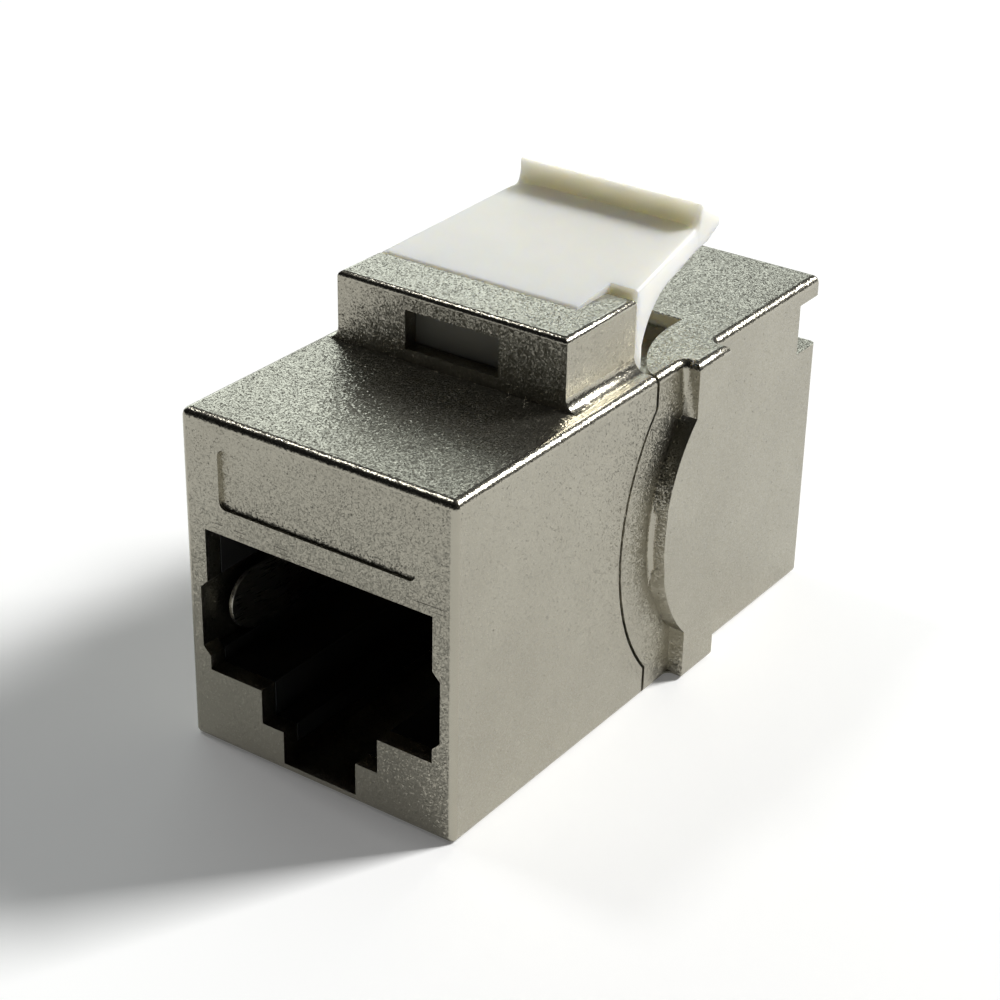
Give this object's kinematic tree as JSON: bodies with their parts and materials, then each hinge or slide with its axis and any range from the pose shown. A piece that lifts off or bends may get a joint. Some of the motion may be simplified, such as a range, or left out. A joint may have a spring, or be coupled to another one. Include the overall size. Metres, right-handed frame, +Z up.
{
  "type": "keystone jack",
  "caption": "Shielded in-line keystone coupler: die-cast two-piece body, modular plug port at each end and a white plastic panel latch on top.",
  "frame": {"origin": "centre of the overall footprint, at the underside", "axes": "+Z up towards the latch, -Y out of the front port, +Y along the body to the rear port, +X to the right seen from the front"},
  "size_m": [0.0162, 0.0296, 0.0218],
  "materials": {
    "shell": "satin nickel plate on a fine-grained die casting",
    "latch": "plain moulded, warm white",
    "carrier": "plain moulded, black",
    "contact": "gold plated spring wire",
    "spring": "plated spring sheet",
    "board": "green solder resist"
  },
  "bodies": {
    "body": {"front_shell": "shell", "rear_shell": "shell", "front_carrier": "carrier", "rear_carrier": "carrier", "circuit_board": "board"},
    "latch": {"panel_latch": "latch"},
    "front_contact_row": {"front_contact_1": "contact", "front_contact_2": "contact", "front_contact_3": "contact", "front_contact_4": "contact", "front_contact_5": "contact", "front_contact_6": "contact", "front_contact_7": "contact", "front_contact_8": "contact"},
    "rear_contact_row": {"rear_contact_1": "contact", "rear_contact_2": "contact", "rear_contact_3": "contact", "rear_contact_4": "contact", "rear_contact_5": "contact", "rear_contact_6": "contact", "rear_contact_7": "contact", "rear_contact_8": "contact"},
    "front_left_spring": {"front_ground_spring_left": "spring"},
    "front_right_spring": {"front_ground_spring_right": "spring"},
    "rear_left_spring": {"rear_ground_spring_left": "spring"},
    "rear_right_spring": {"rear_ground_spring_right": "spring"}
  },
  "joints": [
    {"name": "latch_flex", "type": "hinge", "parent": "body", "child": "latch", "pos_m": [0, -0.00352, 0.01507], "axis": [1, 0, 0], "range_deg": [-8, 0], "stiffness_Nm_per_rad": 0.35},
    {"name": "front_contacts_flex", "type": "hinge", "parent": "body", "child": "front_contact_row", "pos_m": [0, -0.00064, 0.01218], "axis": [-1, 0, 0], "range_deg": [0, 3.5], "stiffness_Nm_per_rad": 0.6},
    {"name": "rear_contacts_flex", "type": "hinge", "parent": "body", "child": "rear_contact_row", "pos_m": [0, 0.00056, 0.01218], "axis": [1, 0, 0], "range_deg": [0, 3.5], "stiffness_Nm_per_rad": 0.6},
    {"name": "front_left_spring_flex", "type": "hinge", "parent": "body", "child": "front_left_spring", "pos_m": [-0.00645, -0.00617, 0.0063], "axis": [0, 0, -1], "range_deg": [0, 3.8], "stiffness_Nm_per_rad": 0.15},
    {"name": "front_right_spring_flex", "type": "hinge", "parent": "body", "child": "front_right_spring", "pos_m": [0.00645, -0.00617, 0.0063], "axis": [0, 0, 1], "range_deg": [0, 3.8], "stiffness_Nm_per_rad": 0.15},
    {"name": "rear_left_spring_flex", "type": "hinge", "parent": "body", "child": "rear_left_spring", "pos_m": [-0.00645, 0.00609, 0.0063], "axis": [0, 0, 1], "range_deg": [0, 3.8], "stiffness_Nm_per_rad": 0.15},
    {"name": "rear_right_spring_flex", "type": "hinge", "parent": "body", "child": "rear_right_spring", "pos_m": [0.00645, 0.00609, 0.0063], "axis": [0, 0, -1], "range_deg": [0, 3.8], "stiffness_Nm_per_rad": 0.15}
  ]
}
